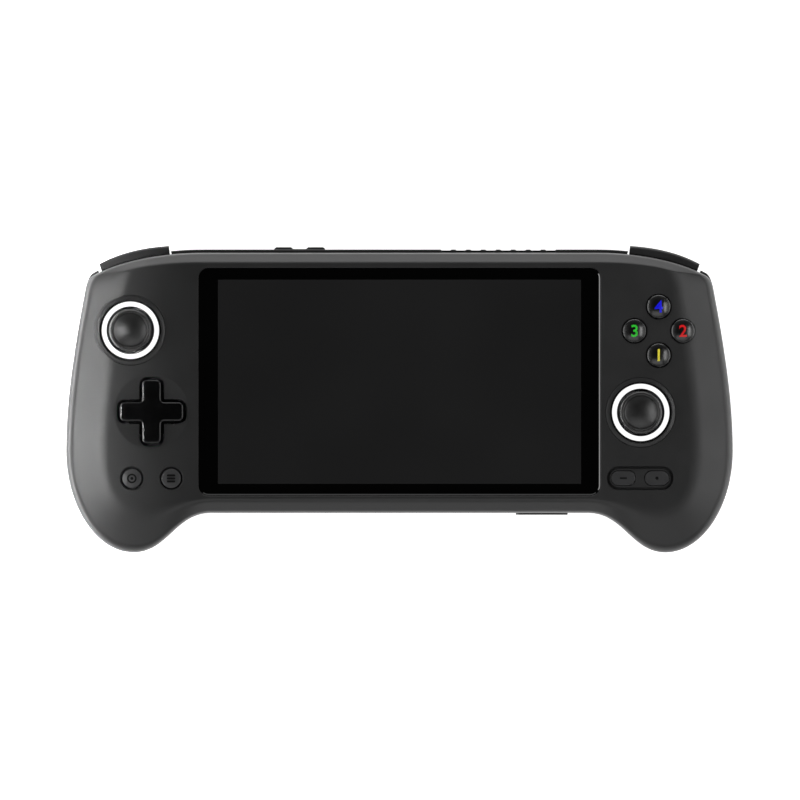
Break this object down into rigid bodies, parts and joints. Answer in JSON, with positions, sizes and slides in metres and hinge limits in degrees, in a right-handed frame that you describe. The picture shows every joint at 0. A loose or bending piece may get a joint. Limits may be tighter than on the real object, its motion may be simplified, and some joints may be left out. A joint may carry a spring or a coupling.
{
  "type": "handheld game console",
  "caption": "Handheld game console with a wide screen between two contoured grips, thumb sticks with light rings, direction pad, face buttons, shoulder bumpers and triggers.",
  "frame": {"origin": "under the middle of the outline, on the plane of the grip backs", "axes": "+X to the console's right, +Y to its top edge, +Z out of the screen"},
  "size_m": [0.223, 0.1025, 0.0373],
  "materials": {
    "case_plastic": "fine matte",
    "lens_glass": "polished",
    "display": "satin",
    "aluminium": "satin",
    "steel": "satin",
    "circuit_board": "satin",
    "battery_wrap": "satin",
    "light_ring": "frosted, lit",
    "key_rubber": "matte",
    "stick_rubber": "matte",
    "gloss_keys": "gloss",
    "matte_keys": "satin",
    "inner_plastic": "matte"
  },
  "bodies": {
    "console": {"front_case": "case_plastic", "rear_case": "case_plastic", "screen_lens": "lens_glass", "display_panel": "display", "mid_frame": "aluminium", "case_screws": "steel", "board_screws": "steel", "left_board": "circuit_board", "right_board": "circuit_board", "main_board": "circuit_board", "main_chips": "inner_plastic", "battery": "battery_wrap", "heat_sink": "aluminium", "fan_housing": "inner_plastic", "left_speaker": "inner_plastic", "right_speaker": "inner_plastic", "usb_c_port": "steel", "audio_jack": "inner_plastic", "card_reader": "steel", "left_stick_housing": "steel", "left_stick_spring": "steel", "left_light_ring": "light_ring", "right_stick_housing": "steel", "right_stick_spring": "steel", "right_light_ring": "light_ring", "dpad_membrane": "key_rubber", "face_membrane": "key_rubber", "key_switches": "inner_plastic", "left_shoulder_bracket": "steel", "right_shoulder_bracket": "steel", "shoulder_pins": "steel", "left_trigger_spring": "steel", "right_trigger_spring": "steel", "bumper_switches": "inner_plastic", "top_key_board": "circuit_board"},
    "fan_rotor": {"fan_rotor": "inner_plastic"},
    "dpad_ball": {"dpad_ball": "steel"},
    "dpad": {"dpad": "gloss_keys"},
    "volume_rocker": {"volume_rocker": "matte_keys"},
    "power_button": {"power_button": "matte_keys"},
    "left_stick_gimbal": {"left_stick_gimbal": "inner_plastic"},
    "left_stick_collar": {"left_stick_collar": "steel"},
    "left_stick": {"left_stick_stem": "steel", "left_stick_cap": "stick_rubber"},
    "left_bumper": {"left_bumper": "case_plastic"},
    "left_trigger": {"left_trigger": "case_plastic"},
    "right_stick_gimbal": {"right_stick_gimbal": "inner_plastic"},
    "right_stick_collar": {"right_stick_collar": "steel"},
    "right_stick": {"right_stick_stem": "steel", "right_stick_cap": "stick_rubber"},
    "right_bumper": {"right_bumper": "case_plastic"},
    "right_trigger": {"right_trigger": "case_plastic"},
    "button_north": {"button_north": "gloss_keys"},
    "button_south": {"button_south": "gloss_keys"},
    "button_east": {"button_east": "gloss_keys"},
    "button_west": {"button_west": "gloss_keys"},
    "select_button": {"select_button": "matte_keys"},
    "start_button": {"start_button": "matte_keys"},
    "home_button": {"home_button": "matte_keys"},
    "turbo_button": {"turbo_button": "matte_keys"}
  },
  "joints": [
    {"name": "left_stick_pitch", "type": "hinge", "parent": "console", "child": "left_stick_gimbal", "pos_m": [-0.0899, 0.02305, 0.022], "axis": [1, 0, 0], "range_deg": [-15, 15], "stiffness_Nm_per_rad": 0.02, "deforming": ["left_stick_spring"]},
    {"name": "left_stick_roll", "type": "hinge", "parent": "left_stick_gimbal", "child": "left_stick_collar", "pos_m": [-0.0899, 0.02305, 0.022], "axis": [0, 1, 0], "range_deg": [-15, 15], "stiffness_Nm_per_rad": 0.02, "deforming": ["left_stick_spring"]},
    {"name": "left_stick_press", "type": "slide", "parent": "left_stick_collar", "child": "left_stick", "axis": [0, 0, -1], "range_m": [0, 0.0006], "stiffness_N_per_m": 800, "springref_m": -0.001},
    {"name": "right_stick_pitch", "type": "hinge", "parent": "console", "child": "right_stick_gimbal", "pos_m": [0.0806, -0.0044, 0.022], "axis": [1, 0, 0], "range_deg": [-15, 15], "stiffness_Nm_per_rad": 0.02, "deforming": ["right_stick_spring"]},
    {"name": "right_stick_roll", "type": "hinge", "parent": "right_stick_gimbal", "child": "right_stick_collar", "pos_m": [0.0806, -0.0044, 0.022], "axis": [0, 1, 0], "range_deg": [-15, 15], "stiffness_Nm_per_rad": 0.02, "deforming": ["right_stick_spring"]},
    {"name": "right_stick_press", "type": "slide", "parent": "right_stick_collar", "child": "right_stick", "axis": [0, 0, -1], "range_m": [0, 0.0006], "stiffness_N_per_m": 800, "springref_m": -0.001},
    {"name": "dpad_rock_up_down", "type": "hinge", "parent": "console", "child": "dpad_ball", "pos_m": [-0.0828, -0.00415, 0.0268], "axis": [1, 0, 0], "range_deg": [-5, 5], "stiffness_Nm_per_rad": 0.05, "deforming": ["dpad_membrane"]},
    {"name": "dpad_rock_left_right", "type": "hinge", "parent": "dpad_ball", "child": "dpad", "pos_m": [-0.0828, -0.00415, 0.0268], "axis": [0, 1, 0], "range_deg": [-5, 5], "stiffness_Nm_per_rad": 0.05, "deforming": ["dpad_membrane"]},
    {"name": "button_north_press", "type": "slide", "parent": "console", "child": "button_north", "axis": [0, 0, -1], "range_m": [0, 0.0012], "stiffness_N_per_m": 500, "springref_m": -0.0008, "deforming": ["face_membrane"]},
    {"name": "button_south_press", "type": "slide", "parent": "console", "child": "button_south", "axis": [0, 0, -1], "range_m": [0, 0.0012], "stiffness_N_per_m": 500, "springref_m": -0.0008, "deforming": ["face_membrane"]},
    {"name": "button_east_press", "type": "slide", "parent": "console", "child": "button_east", "axis": [0, 0, -1], "range_m": [0, 0.0012], "stiffness_N_per_m": 500, "springref_m": -0.0008, "deforming": ["face_membrane"]},
    {"name": "button_west_press", "type": "slide", "parent": "console", "child": "button_west", "axis": [0, 0, -1], "range_m": [0, 0.0012], "stiffness_N_per_m": 500, "springref_m": -0.0008, "deforming": ["face_membrane"]},
    {"name": "select_press", "type": "slide", "parent": "console", "child": "select_button", "axis": [0, 0, -1], "range_m": [0, 0.0004], "stiffness_N_per_m": 900, "springref_m": -0.0005},
    {"name": "start_press", "type": "slide", "parent": "console", "child": "start_button", "axis": [0, 0, -1], "range_m": [0, 0.0004], "stiffness_N_per_m": 900, "springref_m": -0.0005},
    {"name": "home_press", "type": "slide", "parent": "console", "child": "home_button", "axis": [0, 0, -1], "range_m": [0, 0.0004], "stiffness_N_per_m": 900, "springref_m": -0.0005},
    {"name": "turbo_press", "type": "slide", "parent": "console", "child": "turbo_button", "axis": [0, 0, -1], "range_m": [0, 0.0004], "stiffness_N_per_m": 900, "springref_m": -0.0005},
    {"name": "right_bumper_press", "type": "hinge", "parent": "console", "child": "right_bumper", "pos_m": [0.072, 0.04225, 0.02], "axis": [0, 0, 1], "range_deg": [-3.2, 0], "stiffness_Nm_per_rad": 0.3, "springref_deg": 2.86},
    {"name": "left_bumper_press", "type": "hinge", "parent": "console", "child": "left_bumper", "pos_m": [-0.072, 0.04225, 0.02], "axis": [0, 0, 1], "range_deg": [0, 3.2], "stiffness_Nm_per_rad": 0.3, "springref_deg": -2.86},
    {"name": "right_trigger_pull", "type": "hinge", "parent": "console", "child": "right_trigger", "pos_m": [0.08606, 0.03698, 0.018], "axis": [0.9669, -0.2552, 0], "range_deg": [-16, 0], "stiffness_Nm_per_rad": 0.12, "springref_deg": 14.32, "deforming": ["right_trigger_spring"]},
    {"name": "left_trigger_pull", "type": "hinge", "parent": "console", "child": "left_trigger", "pos_m": [-0.08606, 0.03698, 0.018], "axis": [0.9669, 0.2552, 0], "range_deg": [-16, 0], "stiffness_Nm_per_rad": 0.12, "springref_deg": 14.32, "deforming": ["left_trigger_spring"]},
    {"name": "volume_rock", "type": "hinge", "parent": "console", "child": "volume_rocker", "pos_m": [-0.0334, 0.04635, 0.02], "axis": [0, 0, 1], "range_deg": [-2.2, 2.2], "stiffness_Nm_per_rad": 0.2},
    {"name": "power_press", "type": "slide", "parent": "console", "child": "power_button", "axis": [0, -1, 0], "range_m": [0, 0.0003], "stiffness_N_per_m": 900, "springref_m": -0.0005},
    {"name": "fan_spin", "type": "hinge", "parent": "console", "child": "fan_rotor", "pos_m": [0.033, 0.01885, 0.017], "axis": [0, 0, 1], "continuous": true}
  ]
}
